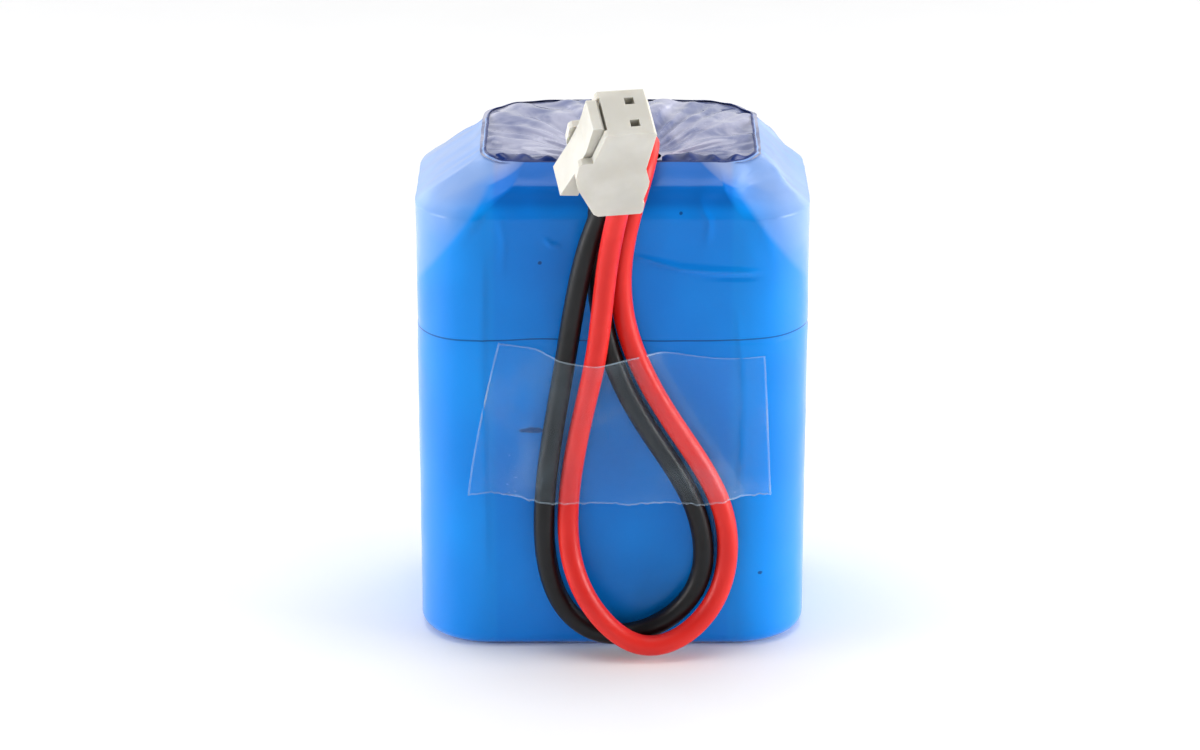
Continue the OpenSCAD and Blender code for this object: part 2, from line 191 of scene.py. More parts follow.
def blue_film(name="blue_film", deep=(0.0, 0.19, 0.72), light=(0.0, 0.255, 0.86), marks_and_painted_light=True):
    """Glossy blue shrink film with broad tone shifts and rub marks; when asked, also the paper
    wrap's edge, small dark marks and painted light: painted reflection on the shoulders and narrow
    sides, a painted lighter band round the outer cells, painted shade over the shoulders' front.
    """
    look = Look(name, Specular_IOR_Level=0.22, Sheen_Weight=0.35, Sheen_Roughness=0.35,
                Sheen_Tint=(0.86, 0.90, 1.0, 1))
    broad = look.noise(45, detail=2)
    fine = look.noise(900, detail=3)
    tone = look.mix(look.ramp(broad, 0.3, 0.7), deep, light)
    if marks_and_painted_light:
        # painted shade: a deeper blue over the front of the shoulders, to hold down the light the
        # top lamp throws on the up-facing band there
        painted_shade_band = look.ramp(look.axis("Z"), 0.0662, 0.0680, 0.0, 0.75)
        tone = look.mix(painted_shade_band, tone, (0.0, 0.115, 0.50))
        # painted reflection: the shoulders go pale and streaked, standing for the bright room that
        # the up-tilted film mirrors there
        out = look.math("ABSOLUTE", look.axis("X"), 0)
        height = look.axis("Z")
        low_part = look.math("ADD", look.ramp_line(out, 0.0166, 0.0086),
                             look.ramp_line(height, 0.0695, 0.012))
        high_part = look.math("ADD", look.ramp_line(out, 0.0166, 0.0048),
                              look.ramp_line(height, 0.0695, 0.00275))
        over = look.math("MAXIMUM", low_part, high_part)
        reflection_noise = look.noise(70, detail=4, stretch=(1, 1, 1.4), distort=0.5)
        reflection_streaks = look.ramp(reflection_noise, 0.3, 0.7, 0.7, 1.0)
        painted_light_piece = look.math("ADD", look.ramp(over, 0.0, 0.14, 0.0, 0.26),
                         look.ramp(over, 0.0, 0.7, 0.0, 0.42))
        tone = look.mix(look.math("MULTIPLY", painted_light_piece, reflection_streaks), tone, (0.44, 0.48, 0.62))
        # painted reflection: the narrow sides paler towards their outer edges, standing for the
        # white the film mirrors at a glancing view
        side_painted_reflection = look.ramp(out, 0.0215, 0.0281, 0.0, 0.16)
        tone = look.mix(side_painted_reflection, tone, (0.30, 0.40, 0.66))
        # painted light: a paler, brighter blue band where the film turns round the outer cells
        # towards the side lamps
        painted_side_light = look.ramp(out, 0.0163, 0.0172, 0.0, 0.22)
        tone = look.mix(painted_side_light, tone, (0.005, 0.34, 0.90))
        # edge of the paper wrap, which shows through as a thin line
        wave = look.math("MULTIPLY", look.noise(60, detail=1), 0.0016)
        above = look.math("SUBTRACT", look.math("ADD", height, wave), PAPER_EDGE)
        off = look.math("ABSOLUTE", above, 0)
        tone = look.mix(look.ramp(off, 0.00004, 0.00016, 0.7, 0.0), tone, (0.0, 0.02, 0.12))
        for x, y, z, wide, high in MARKS:
            away = look.add("ShaderNodeVectorMath", {
                0: look.coords, 1: (x * MM, y * MM, z * MM)}, operation="SUBTRACT").outputs[0]
            near = look.add("ShaderNodeVectorMath", {
                0: away, 1: (1 / (wide * MM), 1 / (2 * MM), 1 / (high * MM))},
                operation="MULTIPLY").outputs[0]
            size = look.add("ShaderNodeVectorMath", {0: near}, operation="LENGTH").outputs["Value"]
            ragged = look.math("ADD", size, look.math("MULTIPLY", look.noise(1800, detail=2), 0.9))
            tone = look.mix(look.ramp(ragged, 1.1, 1.5, 0.75, 0.0), tone, (0.0, 0.02, 0.13))
    look.colour(tone)
    rub = look.noise(160, detail=3, distort=0.4)
    look.rough(look.ramp(rub, 0.3, 0.7, 0.18, 0.26))
    look.bump((look.noise(120, detail=2, distort=0.3), 0.00012), (fine, 0.000006))
    return look.material


def navy_painted_shade_film():
    """The sleeve's cut edge and its inside: deep blue film, darkened with painted shade for where
    the light hardly reaches.
    """
    look = Look("navy_painted_shade_film", Specular_IOR_Level=0.4)
    look.colour(look.mix(look.noise(600), (0.001, 0.012, 0.10), (0.002, 0.03, 0.20)))
    look.rough(look.ramp(look.noise(400), 0.3, 0.7, 0.25, 0.45))
    look.bump((look.noise(1200), 0.00001))
    return look.material


def grey_film():
    """Creased film over the board: greyish lavender with a hard shine."""
    look = Look("grey_film", Specular_IOR_Level=0.55, Coat_Weight=0.45, Coat_Roughness=0.12,
                Coat_IOR=1.5)
    tone = look.ramp(look.noise(160, detail=4, distort=0.8), 0.32, 0.68)
    look.colour(look.mix(tone, (0.10, 0.13, 0.30), (0.42, 0.43, 0.58)))
    look.rough(look.ramp(look.noise(300, detail=3), 0.3, 0.7, 0.12, 0.28))
    look.bump((look.noise(200, detail=3, distort=1.0), 0.00014), (look.noise(1500), 0.00001))
    return look.material


def wire_film(name, dark, light):
    """Extruded wire cover: faint bands along the wire, dust and handling marks."""
    look = Look(name, Specular_IOR_Level=0.3)
    look.colour(look.mix(look.ramp(look.noise(120, detail=2), 0.3, 0.7), dark, light))
    look.rough(look.ramp(look.noise(700, detail=3), 0.3, 0.7, 0.34, 0.48))
    look.bump((look.noise(900, detail=3), 0.000012), (look.noise(2600, detail=2), 0.000006))
    return look.material


def nylon():
    """Cream moulded nylon, a little cloudy, with a fine spark-eroded grain."""
    look = Look("nylon", Subsurface_Weight=0.25, Subsurface_Scale=0.0012, Specular_IOR_Level=0.4)
    look.shader.inputs["Subsurface Radius"].default_value = (1.0, 0.8, 0.5)
    cloud = look.ramp(look.noise(180, detail=3), 0.3, 0.7)
    look.colour(look.mix(cloud, (0.57, 0.55, 0.49), (0.65, 0.635, 0.58)))
    look.rough(look.ramp(look.noise(900), 0.3, 0.7, 0.38, 0.52))
    look.bump((look.noise(300, detail=2), 0.00003), (look.noise(4200, detail=2), 0.000006))
    return look.material


def tape_film(name, clear):
    """Clear tape: faint haze, trapped air in small bubbles, a scuffed patch."""
    look = Look(name, Specular_IOR_Level=0.5)
    haze = look.ramp(look.noise(90, detail=4, distort=0.6), 0.45, 0.75, *clear)
    bubbles = look.ramp(look.cells(700, stretch=(1, 1, 1.6)), 0.0, 0.14, 0.35, 0.0)
    sparse = look.ramp(look.noise(90, detail=2), 0.54, 0.64)
    look.feed(look.math("ADD", haze, look.math("MULTIPLY", bubbles, sparse)),
              look.shader.inputs["Alpha"])
    look.colour(look.mix(look.noise(400), (0.45, 0.66, 0.84), (0.62, 0.78, 0.90)))
    look.rough(look.ramp(look.noise(500, detail=3), 0.3, 0.7, 0.14, 0.26))
    look.bump((look.noise(150, detail=2, distort=0.5), 0.00005))
    return look.material


def metal(name, dark, light, rough=(0.2, 0.4), stretch=(1, 1, 1)):
    """Worn bright metal with drawn or rolled lines along the stretched axis."""
    look = Look(name, Metallic=1.0)
    look.colour(look.mix(look.ramp(look.noise(300, detail=3), 0.3, 0.7), dark, light))
    look.rough(look.ramp(look.noise(900, detail=4, stretch=stretch), 0.3, 0.7, *rough))
    look.bump((look.noise(1600, detail=3, stretch=stretch), 0.000008))
    return look.material


def dull(name, dark, light, rough=(0.5, 0.75), scale=600, depth=0.00002, detail=3):
    """A plain non-metal with grain: paper, foam, moulded epoxy, glue."""
    look = Look(name, Specular_IOR_Level=0.35)
    look.colour(look.mix(look.ramp(look.noise(scale, detail=detail), 0.3, 0.7), dark, light))
    look.rough(look.ramp(look.noise(scale * 0.6), 0.3, 0.7, *rough))
    look.bump((look.noise(scale * 2, detail=detail), depth))
    return look.material


BLUE = blue_film()
NAVY_PAINTED_SHADE = navy_painted_shade_film()
GREY = grey_film()
RED_COVER = wire_film("red_insulation", (0.68, 0.016, 0.012), (0.76, 0.024, 0.017))
BLACK_COVER = wire_film("black_insulation", (0.003, 0.0035, 0.004), (0.007, 0.0075, 0.009))
YELLOW_COVER = wire_film("yellow_insulation", (0.70, 0.48, 0.03), (0.82, 0.62, 0.06))
NYLON = nylon()
TAPE = tape_film("clear_tape", (0.02, 0.06))
TAPE_EDGE = tape_film("clear_tape_edge", (0.22, 0.42))
STEEL = metal("can_steel", (0.50, 0.50, 0.51), (0.66, 0.66, 0.67), stretch=(1, 1, 0.1))
NICKEL = metal("nickel", (0.55, 0.54, 0.51), (0.72, 0.70, 0.66), stretch=(0.15, 1, 1))
SOLDER = metal("solder", (0.55, 0.56, 0.57), (0.75, 0.76, 0.78), rough=(0.15, 0.3))
BRASS = metal("tinned_brass", (0.48, 0.42, 0.28), (0.66, 0.60, 0.46))
FOIL = dull("electrode_foil", (0.03, 0.03, 0.032), (0.09, 0.09, 0.095))
GASKET = dull("gasket_plastic", (0.66, 0.66, 0.62), (0.80, 0.80, 0.77), rough=(0.4, 0.6))
CELL_FILM = blue_film("cell_film", (0.12, 0.26, 0.36), (0.22, 0.40, 0.52), marks_and_painted_light=False)
PAPER = dull("insulating_paper", (0.24, 0.36, 0.22), (0.36, 0.48, 0.32), scale=900)
GLUE = dull("glue", (0.66, 0.63, 0.50), (0.80, 0.77, 0.64), rough=(0.3, 0.5))
BOARD = dull("circuit_board", (0.004, 0.07, 0.022), (0.01, 0.13, 0.05), rough=(0.25, 0.4))
EPOXY = dull("chip_plastic", (0.014, 0.014, 0.015), (0.03, 0.03, 0.032))
CERAMIC = dull("chip_ceramic", (0.22, 0.16, 0.10), (0.36, 0.28, 0.19))
FOAM = dull("foam", (0.70, 0.70, 0.68), (0.84, 0.84, 0.82), scale=1400, depth=0.00008)


def dress(look, *names):
    """Gives CAD nodes a material in place of their own."""
    for name in names:
        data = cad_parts[name].data
        data.materials.clear()
        data.materials.append(look)


def dress_inside():
    for i in range(1, 7):
        dress(STEEL, f"cell_can_{i}", f"positive_cap_{i}")
        dress(FOIL, f"electrode_roll_{i}")
        dress(GASKET, f"cell_gasket_{i}")
        dress(CELL_FILM, f"cell_wrap_{i}")
    dress(PAPER, "paper_rings", "bottom_insulator", "top_insulator", "paper_wrap")
    dress(NICKEL, "negative_strip", "link_strip_bottom", "link_strip_top", "positive_strip")
    dress(RED_COVER, "positive_riser")
    dress(YELLOW_COVER, "tap_riser")
    dress(GLUE, "glue_beads")
    dress(BOARD, "protection_board")
    dress(EPOXY, "mosfets", "protection_chip")
    dress(CERAMIC, "chip_parts")
    dress(SOLDER, "solder_joints")
    dress(FOAM, "foam_pad")
    dress(BRASS, "crimp_contacts")
    dress(NYLON, "connector_housing", "connector_latch")


dress_inside()

# ---------------------------------------------------------------- lead wires

WIRE_D = 3
RED_ROUTE = [
    (4.2, -1.5, 69.1), (4.3, -4, 69.3), (4.6, -6.4, 70.5), (4.9, -8.5, 72.5),
    (5.1, -11.1, 74.3), (5.1, -14.2, 75), (4.8, -17.3, 74.3), (4.1, -19.7, 72.1),
    (3.1, -20.7, 68.9), (1.9, -20.7, 64.6), (1, -20.6, 58.7), (1.2, -20.6, 52.8),
    (2.6, -20.6, 47.3), (5.1, -20.6, 41.5), (8.4, -20.6, 35.8), (12, -20.6, 30.4),
    (14.9, -20.6, 25.2), (16.5, -20.6, 20), (16.7, -20.7, 14.6), (15.6, -21.2, 9.6),
    (13, -22.2, 5.6), (9.4, -23.2, 2.9), (5.4, -23.7, 1.9), (1.6, -23.8, 3.2),
    (-2.2, -23.6, 6.9), (-4.9, -22.8, 11.5), (-6.3, -21.4, 16.3), (-6.5, -20.7, 21.6),
    (-6, -20.6, 27.2), (-5, -20.7, 33.2), (-3.9, -21.2, 38.6), (-2.8, -22.6, 43.8),
    (-2, -23.8, 49), (-1.5, -24.1, 54), (-1, -24.5, 59), (-0.4, -25.6, 63.6),
    (0.3, -27.4, 67.6), (0.9, -29.6, 71.1), (1.5, -32.3, 75.5)]
BLACK_ROUTE = [
    (-1.5, -1.5, 69.1), (-1.5, -4, 69.3), (-1.5, -6.4, 70.5), (-1.5, -8.5, 72.5),
    (-1.5, -11.1, 74.3), (-1.5, -14.2, 75), (-1.6, -17.3, 74.3), (-1.7, -19.7, 72.1),
    (-1.9, -20.7, 68.9), (-2.2, -20.7, 64), (-2.3, -20.6, 58), (-1.8, -20.6, 52.5),
    (-0.6, -20.6, 46.8), (1.2, -20.6, 41.8), (3.6, -20.6, 37), (6.6, -20.6, 32.2),
    (9.6, -20.6, 27.6), (12, -20.6, 22.6), (13.2, -20.6, 17.4), (13.1, -20.6, 12.6),
    (11.4, -20.6, 8.5), (8.3, -20.6, 5.2), (4.2, -20.6, 3.1), (-0.3, -20.6, 2.4),
    (-4.3, -20.6, 3.9), (-7.4, -20.6, 7.2), (-9.2, -20.6, 12), (-9.9, -20.6, 17.6),
    (-9.8, -20.6, 23.2), (-9.3, -20.6, 28.8), (-8.4, -20.7, 35), (-7.3, -21.1, 41.5),
    (-6.3, -21.8, 48), (-5.4, -22.7, 54), (-4.3, -23.3, 60), (-2.9, -23.8, 65),
    (-1.2, -24.6, 69.4), (0.1, -26.3, 73.1), (0.7, -29, 77.6)]


def spline_points(route, steps=8):
    """Points of the clamped cubic B-spline that the route's points steer."""
    p = np.array([route[0]] * 2 + list(route) + [route[-1]] * 2, float)
    t = np.arange(steps)[:, None] / steps
    found = []
    for a, b, c, d in zip(p, p[1:], p[2:], p[3:]):
        found.append(((1 - t) ** 3 * a + (3 * t ** 3 - 6 * t ** 2 + 4) * b
                      + (-3 * t ** 3 + 3 * t ** 2 + 3 * t + 1) * c + t ** 3 * d) / 6)
    return np.vstack(found)


def make_wire(name, route, look):
    data = bpy.data.curves.new(name, "CURVE")
    data.dimensions = "3D"
    data.bevel_depth = WIRE_D / 2 * MM
    data.bevel_resolution = 6
    data.use_fill_caps = True
    data.resolution_u = 6
    spline = data.splines.new("NURBS")
    spline.points.add(len(route) - 1)
    for point, place in zip(spline.points, route):
        point.co = (*(Vector(place) * MM), 1)
    spline.order_u = 4
    spline.use_endpoint_u = True
    wire = bpy.data.objects.new(name, data)
    bpy.context.collection.objects.link(wire)
    data.materials.append(look)
    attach(wire, "pack")
    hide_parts(name[len("lead_"):])
    return wire


# ---------------------------------------------------------------- mesh help


def link_mesh(name, points, faces, looks, smooth=True):
    """A mesh object from points in millimetres."""
    data = bpy.data.meshes.new(name)
    data.from_pydata([tuple(p) for p in np.asarray(points) * MM], [], faces)
    data.validate()
    for look in looks:
        data.materials.append(look)
    if smooth:
        data.shade_smooth()
    made = bpy.data.objects.new(name, data)
    bpy.context.collection.objects.link(made)
    return made


def fuzz(p, scale, seed=0.0):
    """Smooth noise from about -1 to 1 at a point, with features of about scale mm."""
    return noise.noise(Vector((p[0] / scale + seed, p[1] / scale - seed, p[2] / scale + 2 * seed)))


def bell(x, width):
    return np.exp(-(x / width) ** 2)


def smooth(x, low, high):
    t = np.clip((x - low) / (high - low), 0, 1)
    return t * t * (3 - 2 * t)


# ---------------------------------------------------------------- sleeve

FILM = 0.1
BASE_RIM = 6
BASE_ROUND = 2
# Height under the rim of the opening, set in at the sides, set in at the front, pulled in
# at a corner
SHOULDER = [
    (-6.85, 0, 0, 0), (-5.55, 1.5, 0.2, 0.5), (-4.05, 3.4, 0.5, 1.4), (-2.75, 5.0, 0.8, 2.0),
    (-1.95, 6.0, 1.5, 1.8), (-0.85, 7.6, 3.7, 0.9), (0, 9, 6.2, 0.1)]


def resample(levels, step):
    """Levels along the same smooth outline, about step mm apart in height and set-in."""
    levels = np.array(levels, float)
    padded = np.vstack([2 * levels[0] - levels[1], levels, 2 * levels[-1] - levels[-2]])
    found = []
    for a, b, c, d in zip(padded, padded[1:], padded[2:], padded[3:]):
        count = max(2, int(np.linalg.norm((c - b)[:3]) / step))
        for k in range(count):
            t = k / count
            found.append(0.5 * (2 * b + (c - a) * t + (2 * a - 5 * b + 4 * c - d) * t ** 2
                                + (3 * b - a - 3 * c + d) * t ** 3))
    found.append(levels[-1])
    return found


def sleeve_levels():
    wall_top = SLEEVE_H + SHOULDER[0][0]
    flange = [(0, s, s, 0) for s in np.linspace(BASE_RIM, BASE_ROUND, 6)]
    edge = [(BASE_ROUND * (1 - math.cos(a)), BASE_ROUND * (1 - math.sin(a)),
             BASE_ROUND * (1 - math.sin(a)), 0) for a in np.radians(np.arange(10, 91, 10))]
    wall = [(z, 0, 0, 0) for z in np.linspace(BASE_ROUND, wall_top, 190)[1:-1]]
    shoulder = resample([(SLEEVE_H + z, a, b, c) for z, a, b, c in SHOULDER], 0.28)
    return np.array(flange + edge + wall + [tuple(s) for s in shoulder])


ARC_STEPS = 20
LONG_STEPS = 130
SHORT_STEPS = 44


def ring_angles():
    """Around the sleeve: (corner, angle on its arc) for arcs, and the straight runs between."""
    spots = []
    for corner in range(4):
        steps = LONG_STEPS if corner % 2 == 0 else SHORT_STEPS
        spots += [("arc", corner, a) for a in np.linspace(0, math.pi / 2, ARC_STEPS + 1)]
        spots += [("run", corner, k / steps) for k in range(1, steps)]
    return spots


def ring_points(level, spots):
    """Points of one level, counter-clockwise from +X, and how far each is into a corner."""
    z, in_x, in_y, pull = level
    hw, hd = HALF_W - in_x, HALF_D - in_y
    r = CORNER_R - 0.29 * (in_x + in_y)
    signs = [(1, 1), (-1, 1), (-1, -1), (1, -1)]

    def on_arc(corner, a):
        sx, sy = signs[corner]
        c = math.sin(2 * a) * pull
        full = corner * math.pi / 2 + a
        return np.array([sx * (hw - r - c / math.sqrt(2)) + r * math.cos(full),
                         sy * (hd - r - c / math.sqrt(2)) + r * math.sin(full), z - 0.4 * c])

    points = []
    for kind, corner, t in spots:
        if kind == "arc":
            points.append(on_arc(corner, t))
        else:
            a = on_arc(corner, math.pi / 2)
            b = on_arc((corner + 1) % 4, 0)
            points.append(a + (b - a) * t)
    return np.array(points)


def grid_normals(grid):
    """Outward unit normals of a grid of points that closes round its second axis."""
    around = np.roll(grid, -1, axis=1) - np.roll(grid, 1, axis=1)
    along = np.gradient(grid, axis=0)
    n = np.cross(around, along)
    return n / np.maximum(np.linalg.norm(n, axis=2, keepdims=True), 1e-9)


def near_line(x, z, line):
    """Distance in the x-z plane to an open line of points, and the place along it from 0 to 1."""
    best = np.full(x.shape, 1e9)
    where = np.zeros(x.shape)
    pieces = list(zip(line, line[1:]))
    for k, ((x0, z0), (x1, z1)) in enumerate(pieces):
        dx, dz = x1 - x0, z1 - z0
        t = np.clip(((x - x0) * dx + (z - z0) * dz) / (dx * dx + dz * dz), 0, 1)
        d = np.hypot(x - x0 - t * dx, z - z0 - t * dz)
        closer = d < best
        best[closer] = d[closer]
        where[closer] = ((k + t) / len(pieces))[closer]
    return best, where


# Creases in the front of the film: (points in x and z, height, width)
FRONT_CREASES = [
    ([(3.6, 59.8), (9.4, 58.2), (14, 57.8), (20.5, 57.6)], 0.55, 0.36),
    ([(5, 58.9), (9.6, 57.4), (14, 57.0), (20.5, 56.8)], -0.45, 0.34),
    ([(-22.8, 60), (-19.5, 65), (-17, 69)], 0.32, 0.6),
    ([(23.4, 58), (21, 64), (18.6, 69)], 0.32, 0.6),
    ([(-16, 66), (-15.2, 62), (-15.6, 57)], 0.10, 0.5),
    ([(12, 68.4), (13.5, 65), (13.2, 61.5)], 0.12, 0.5),
    ([(-9.6, 62.5), (-8.6, 61.6), (-7.4, 61.5)], 0.24, 0.3),
    ([(17.5, 52), (18.8, 40), (18.4, 24)], 0.16, 0.5),
    ([(-18.2, 60), (-18.6, 44), (-18.3, 12)], 0.16, 0.5)]


def film_relief(grid, normals):
    """How far each point of the outer film stands out along its normal, in mm."""
    x, y, z = grid[..., 0], grid[..., 1], grid[..., 2]
    on_wall = smooth(z, 3, 9) * (1 - smooth(z, 61, 66))
    facing_y = np.abs(normals[..., 1]) ** 6
    facing_x = np.abs(normals[..., 0]) ** 6
    inside_x = np.clip(np.abs(x) / CELL_PITCH, 0, 1)
    inside_y = np.clip(np.abs(y) / (CELL_PITCH / 2), 0, 1)
    sag = 0.17 * np.sin(np.pi * inside_x) ** 2 * facing_y
    sag += 0.17 * np.cos(np.pi / 2 * inside_y) ** 2 * facing_x
    relief = -sag * on_wall
    # edge of the paper wrap under the film, all round
    wrap_edge = z - 47.4 - 0.25 * np.sin(x / 5) - 0.15 * np.sin(y / 3)
    relief -= 0.07 * bell(wrap_edge, 0.22) + 0.05 * smooth(wrap_edge, -0.3, 0.3) * on_wall
    front = (y < 0) * facing_y
    for line, height, width in FRONT_CREASES:
        distance, where = near_line(x, z, line)
        fade = np.sin(np.pi * np.clip(where, 0.02, 0.98)) ** 0.5
        relief += front * height * bell(distance, width) * fade
    return relief


def rim_relief(grid, normals):
    """Folds on the shoulders and the flange round the top opening."""
    x, y, z = grid[..., 0], grid[..., 1], grid[..., 2]
    top = smooth(z, CELL_TOP - 4, CELL_TOP + 3)
    corner = smooth(np.abs(x), 12, 21) * smooth(np.abs(y), 3, 11)
    angle = np.arctan2(np.abs(y) - 6, np.abs(x) - 15)
    folds = np.sin(angle * 9 + np.sin(angle * 4) + (x > 0) * 1.7 + (y > 0) * 0.8)
    relief = 0.16 * top * corner * folds
    along = np.where(np.abs(normals[..., 0]) > np.abs(normals[..., 1]), y, x)
    relief += 0.03 * top * np.sin(along * 1.1 + 0.6 * np.sin(along * 0.5))
    return relief


def crown_at(x, y):
    """How much the film stands up over the board: most in the middle of the back."""
    return 1.6 * (1 - 0.75 * np.clip(np.abs(x) / 22, 0, 1) ** 3) * smooth(y, -13, 9)


def make_sleeve():
    spots = ring_angles()
    levels = sleeve_levels()
    grid = np.array([ring_points(level, spots) for level in levels])
    normals = grid_normals(grid)
    relief = film_relief(grid, normals) + rim_relief(grid, normals)
    bumps = np.array([[0.07 * fuzz(p, 9, 3) + 0.03 * fuzz(p, 3.5, 7) for p in row] for row in grid])
    free = smooth(grid[..., 2], 1.5, 6)
    relief += (bumps - 0.05) * free
    relief = np.where(grid[..., 2] < CELL_TOP, np.maximum(relief, -0.27), relief)
    rim = smooth(grid[..., 2], SLEEVE_H - 1.6, SLEEVE_H)
    grid = grid + normals * relief[..., None]
    # the film crowns over the board and its cut edge wanders
    grid[..., 2] += rim * crown_at(grid[..., 0], grid[..., 1])
    grid[..., 0] += 1.1 * smooth(grid[..., 2], SLEEVE_H - 5, SLEEVE_H - 0.5)
    wander = 0.12 * rim * np.sin(grid[..., 0] * 0.55 + grid[..., 1] * 0.5)
    grid[..., 1] += wander * np.sign(grid[..., 1])
    low = np.array([-HALF_W, -HALF_D - 0.25, 0])
    high = np.array([HALF_W, HALF_D, SLEEVE_H + 2])
    grid = np.clip(grid, low, high)
    # the film's thickness shows at the rim, so only that part turns inwards
    inner = (grid - grid_normals(grid) * FILM)[::-1][:12]
    rings = np.vstack([grid, inner])
    count, around = rings.shape[:2]
    outer_count = len(levels)
    faces = []
    looks = []
    for k in range(count - 1):
        nxt = k + 1
        for j in range(around):
            following = (j + 1) % around
            faces.append((k * around + j, k * around + following,
                          nxt * around + following, nxt * around + j))
            # the last rings and the turned-in rim take the navy film, deep blue with painted shade
            looks.append(0 if k < outer_count - 3 else 1)
    sleeve = link_mesh("shrink_sleeve", rings.reshape(-1, 3), faces, [BLUE, NAVY_PAINTED_SHADE])
    sleeve.data.polygons.foreach_set("material_index", looks)
    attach(sleeve, "pack")
    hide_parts("heat_shrink_sleeve")
    return grid[-1]


# ---------------------------------------------------------------- top film


WIRE_HOLE = (1.5, -7.2, 5.4, 3.4)


def make_top_film(rim):
    """Creased film under the opening's rim, gathered round the hole for the wires."""
    cx, cy, rx, ry = WIRE_HOLE
    rim = rim[:, :3]
    around = len(rim)
    # one point of the film's outer edge for each point of the rim, tucked a little under it
    mid = rim.mean(axis=0)
    out = rim - mid
    out[:, 2] = 0
    edge = rim + out / np.linalg.norm(out, axis=1, keepdims=True) * 0.9
    edge[:, 2] -= 0.35
    angle = np.arctan2(edge[:, 1] - cy, edge[:, 0] - cx)
    hole = np.column_stack([cx + rx * np.cos(angle), cy + ry * np.sin(angle),
                            np.full(around, SLEEVE_H - 1.1)])
    steps = 70
    rows = []
    for k in range(steps + 1):
        t = k / steps
        row = hole + (edge - hole) * t
        x, y = row[:, 0], row[:, 1]
        reach = np.hypot(x - cx, y - cy)
        free = smooth(t, 0, 0.25) * (1 - smooth(t, 0.86, 1.0))
        lift = np.sin(angle * 15 + 0.16 * reach + 1.3 * np.sin(angle * 4))
        lift += 0.7 * np.sin(angle * 34 - 0.25 * reach + 2 * np.sin(angle * 7))
        rough = np.array([fuzz((a / 2.2, b, 0), 2.2, 5) for a, b in zip(x, y)])
        row[:, 2] = (hole[:, 2] + (edge[:, 2] - hole[:, 2]) * smooth(t, 0, 0.6)
                     + free * (0.26 * np.sign(lift) * np.abs(lift) ** 0.7 + 0.22 * rough
                               + 0.5 * crown_at(x, y) - 0.25))
        rows.append(row)
    grid = np.array(rows)
    faces = [(k * around + j, k * around + (j + 1) % around,
              (k + 1) * around + (j + 1) % around, (k + 1) * around + j)
             for k in range(steps) for j in range(around)]
    film = link_mesh("board_film", grid.reshape(-1, 3), faces, [GREY])
    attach(film, "pack")
    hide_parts("top_film")


# Dark sheets of painted shadow under the near rim, where the film dips below it: from x, to x, how
# far they reach inwards
RIM_SHADOW_SHEETS = [(6.9, 19.0, 3.7), (-16.5, -7.0, 2.9)]


def make_rim_shadow_sheets(rim):
    """Dark sheets of painted shadow that lie on the grey film just inside the near edge."""
    near = rim[rim[:, 1] < -8][:, :3]
    near = near[np.argsort(near[:, 0])]
    for k, (x0, x1, reach) in enumerate(RIM_SHADOW_SHEETS):
        t = np.linspace(0, 1, 60)
        x = x0 + (x1 - x0) * t
        y = np.interp(x, near[:, 0], near[:, 1])
        z = np.interp(x, near[:, 0], near[:, 2])
        bulge = np.interp(t, (0, 0.12, 0.35, 0.6, 0.8, 1), (0.1, 0.75, 1, 0.45, 0.3, 0.02))
        rows = []
        for step in np.linspace(0, 1, 12):
            inward = y - 0.2 + (reach * bulge + 0.2) * step
            swell = 0.3 * math.sin(step * math.pi) * (1.3 + np.sin(x * 1.9))
            rise = swell + 0.6 * crown_at(x, inward)
            rows.append(np.column_stack([x, inward, z - 0.1 + rise]))
        top = np.array(rows)
        both = np.vstack([top.reshape(-1, 3), (top - (0, 0, 0.07)).reshape(-1, 3)])
        across, along = len(t), len(rows)
        size = across * along
        faces = []
        for a in range(along - 1):
            for b in range(across - 1):
                i = a * across + b
                faces.append((i, i + 1, i + across + 1, i + across))
                faces.append((size + i, size + i + across, size + i + across + 1, size + i + 1))
        painted_light_piece = link_mesh("rim_shadow_sheet_%d" % (k + 1), both, faces, [NAVY_PAINTED_SHADE])
        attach(painted_light_piece, "pack")


# ---------------------------------------------------------------- tape

TAPE_LOW, TAPE_HIGH = node_box("clear_tape")


def wire_tops(z_at, points):
    """Where wires cross a height: (x, how far their outer side stands off the sleeve)."""
    found = []
    for p, q in zip(points, points[1:]):
        if (p[2] - z_at) * (q[2] - z_at) <= 0 and abs(q[2] - p[2]) > 1e-6:
            t = (z_at - p[2]) / (q[2] - p[2])
            s = p + t * (q - p)
            found.append((s[0], -HALF_D - s[1] + WIRE_D / 2 + 0.12))
    return found


def tape_rise(xs, crossings):
    """Stand-off of taut tape over the wires at one height: their upper hull, a little slack."""
    bumps = []
    for x0, top in crossings:
        for a in np.radians(np.arange(0, 181, 15)):
            bumps.append((x0 + (WIRE_D / 2 + 0.12) * math.cos(a),
                          top - (WIRE_D / 2 + 0.12) * (1 - math.sin(a))))
    left = min(b[0] for b in bumps) - 2.6
    right = max(b[0] for b in bumps) + 2.6
    points = sorted(bumps + [(left, 0.0), (right, 0.0)])
    hull = []
    for p in points:
        while len(hull) > 1:
            (x1, y1), (x2, y2) = hull[-2], hull[-1]
            if (x2 - x1) * (p[1] - y1) - (y2 - y1) * (p[0] - x1) >= 0:
                hull.pop()
            else:
                break
        hull.append(p)
    return np.interp(xs, [h[0] for h in hull], [h[1] for h in hull], left=0, right=0)


